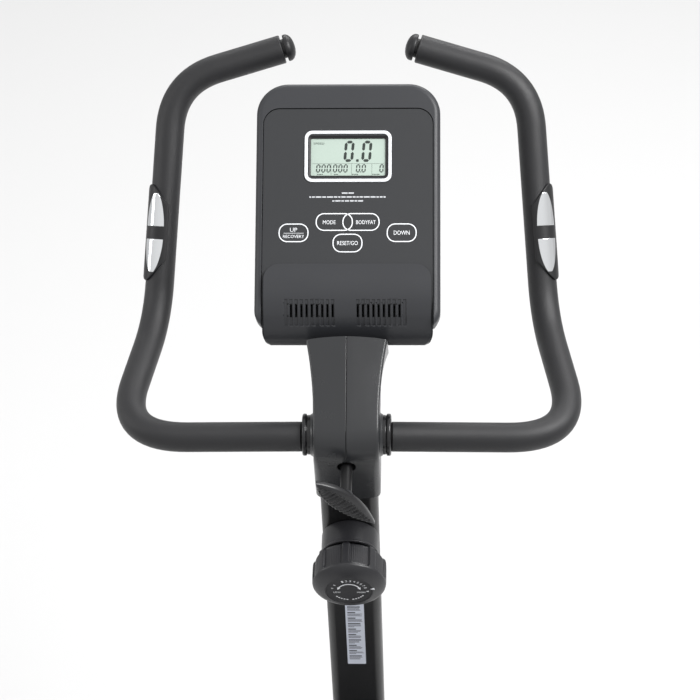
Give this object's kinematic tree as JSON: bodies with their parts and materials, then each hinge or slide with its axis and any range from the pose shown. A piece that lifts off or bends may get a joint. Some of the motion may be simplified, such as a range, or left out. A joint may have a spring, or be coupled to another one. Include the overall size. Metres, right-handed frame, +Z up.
{
  "type": "exercise bike",
  "caption": "Upright magnetic exercise bike with a tilted display console, looped foam handlebar with pulse plates, tension dial, strapped pedals and height-adjustable saddle.",
  "frame": {"origin": "on the floor, under the middle of the bounding box", "axes": "+Z up, +Y towards the front of the bike (the way the rider faces), +X to the rider's right"},
  "size_m": [0.4974, 0.926, 1.3823],
  "materials": {
    "steel_paint": "semi-gloss black powder coat",
    "shell": "fine-grained dark grey moulded plastic",
    "panel": "printed dark grey overlay",
    "dark": "black moulded plastic",
    "foam": "closed-cell foam grip",
    "chrome": "polished",
    "raw_steel": "bright steel",
    "cast_iron": "turned rim, plain sides",
    "rubber": "moulded rubber",
    "white": "white gloss trim",
    "lcd": "pale green display",
    "board": "green circuit board",
    "leather": "black leatherette over foam",
    "sheath": "cable sheath",
    "pedal": "black nylon"
  },
  "bodies": {
    "frame": {"main_frame": "steel_paint", "front_post": "steel_paint", "front_stabiliser": "steel_paint", "rear_stabiliser": "steel_paint", "rear_cap_right": "rubber", "rear_cap_left": "rubber", "front_cap_right": "rubber", "front_cap_left": "rubber", "drive_belt": "rubber", "flywheel_axle": "raw_steel", "shroud_right": "shell", "shroud_left": "shell", "seat_sleeve": "dark", "tension_housing": "dark", "tension_cable": "sheath", "neck_cover_right": "shell", "neck_cover_left": "shell", "handlebar_clamp": "steel_paint", "bar_collar_right": "dark", "bar_collar_left": "dark", "console_housing": "shell", "console_rear": "shell", "console_face": "panel", "lcd_bezel": "white", "lcd_panel": "lcd", "circuit_board": "board"},
    "handlebar": {"handlebar_tube": "steel_paint", "foam_grip_right": "foam", "foam_grip_left": "foam", "end_plug_right": "dark", "end_plug_left": "dark", "pulse_housing_right": "dark", "pulse_housing_left": "dark", "pulse_plate_upper_right": "chrome", "pulse_plate_upper_left": "chrome", "pulse_plate_lower_right": "chrome", "pulse_plate_lower_left": "chrome"},
    "lever": {"clamp_lever": "dark"},
    "dial": {"tension_knob": "dark"},
    "brake": {"brake_magnet_arm": "cast_iron"},
    "crank": {"crank_axle": "raw_steel", "drive_pulley": "dark", "crank_arm_right": "steel_paint", "crank_arm_left": "steel_paint"},
    "pedal_r": {"pedal_right": "pedal", "pedal_strap_right": "rubber"},
    "pedal_l": {"pedal_left": "pedal", "pedal_strap_left": "rubber"},
    "wheel_mass": {"flywheel": "cast_iron"},
    "seat": {"seat_post": "raw_steel", "saddle_shell": "dark", "saddle_pad": "leather"},
    "pull_pin": {"seat_pin": "dark"},
    "roller_r": {"transport_wheel_right": "rubber"},
    "roller_l": {"transport_wheel_left": "rubber"},
    "press_up": {"key_up": "panel"},
    "press_down": {"key_down": "panel"},
    "press_mode": {"key_mode": "panel"},
    "press_body": {"key_body": "panel"},
    "press_reset": {"key_reset": "panel"}
  },
  "joints": [
    {"name": "handlebar_tilt", "type": "hinge", "parent": "frame", "child": "handlebar", "pos_m": [0, 0.05604, 1.115], "axis": [1, 0, 0], "range_deg": [-25, 20]},
    {"name": "clamp_lever_turn", "type": "hinge", "parent": "frame", "child": "lever", "pos_m": [0, -0.01709, 1.08872], "axis": [0, -0.9781, -0.2079], "range_deg": [0, 150]},
    {"name": "tension_turn", "type": "hinge", "parent": "frame", "child": "dial", "pos_m": [0, 0.02022, 0.94688], "axis": [0, -0.9781, -0.2079], "range_deg": [-280, 0]},
    {"name": "brake_swing", "type": "hinge", "parent": "frame", "child": "brake", "pos_m": [-0.014, 0.05604, 0.398], "axis": [1, 0, 0], "range_deg": [0, 8.5]},
    {"name": "crank_spin", "type": "hinge", "parent": "frame", "child": "crank", "pos_m": [0, -0.00396, 0.3], "axis": [1, 0, 0], "continuous": true},
    {"name": "pedal_right_spin", "type": "hinge", "parent": "crank", "child": "pedal_r", "pos_m": [0.144, 0.12711, 0.20823], "axis": [1, 0, 0], "continuous": true},
    {"name": "pedal_left_spin", "type": "hinge", "parent": "crank", "child": "pedal_l", "pos_m": [-0.144, -0.13502, 0.39177], "axis": [1, 0, 0], "continuous": true},
    {"name": "flywheel_spin", "type": "hinge", "parent": "frame", "child": "wheel_mass", "pos_m": [0, 0.11804, 0.306], "axis": [1, 0, 0], "continuous": true},
    {"name": "seat_height", "type": "slide", "parent": "frame", "child": "seat", "axis": [0, -0.3007, 0.9537], "range_m": [-0.15, 0.1]},
    {"name": "seat_pin_pull", "type": "slide", "parent": "frame", "child": "pull_pin", "axis": [0, -0.9537, -0.3007], "range_m": [0, 0.008], "stiffness_N_per_m": 1200, "springref_m": -0.004},
    {"name": "transport_wheel_right_spin", "type": "hinge", "parent": "frame", "child": "roller_r", "pos_m": [0.216, 0.43804, 0.031], "axis": [1, 0, 0], "continuous": true},
    {"name": "transport_wheel_left_spin", "type": "hinge", "parent": "frame", "child": "roller_l", "pos_m": [-0.216, 0.43804, 0.031], "axis": [1, 0, 0], "continuous": true},
    {"name": "key_up_press", "type": "slide", "parent": "frame", "child": "press_up", "axis": [0, 0.6293, -0.7771], "range_m": [0, 0.0005], "stiffness_N_per_m": 1500, "springref_m": -0.0002},
    {"name": "key_down_press", "type": "slide", "parent": "frame", "child": "press_down", "axis": [0, 0.6293, -0.7771], "range_m": [0, 0.0005], "stiffness_N_per_m": 1500, "springref_m": -0.0002},
    {"name": "key_mode_press", "type": "slide", "parent": "frame", "child": "press_mode", "axis": [0, 0.6293, -0.7771], "range_m": [0, 0.0005], "stiffness_N_per_m": 1500, "springref_m": -0.0002},
    {"name": "key_body_press", "type": "slide", "parent": "frame", "child": "press_body", "axis": [0, 0.6293, -0.7771], "range_m": [0, 0.0005], "stiffness_N_per_m": 1500, "springref_m": -0.0002},
    {"name": "key_reset_press", "type": "slide", "parent": "frame", "child": "press_reset", "axis": [0, 0.6293, -0.7771], "range_m": [0, 0.0005], "stiffness_N_per_m": 1500, "springref_m": -0.0002}
  ],
  "couplings": [
    {"joint": "flywheel_spin", "follows": "crank_spin", "ratio": 5.4118},
    {"joint": "brake_swing", "follows": "tension_turn", "ratio": -0.028571}
  ]
}
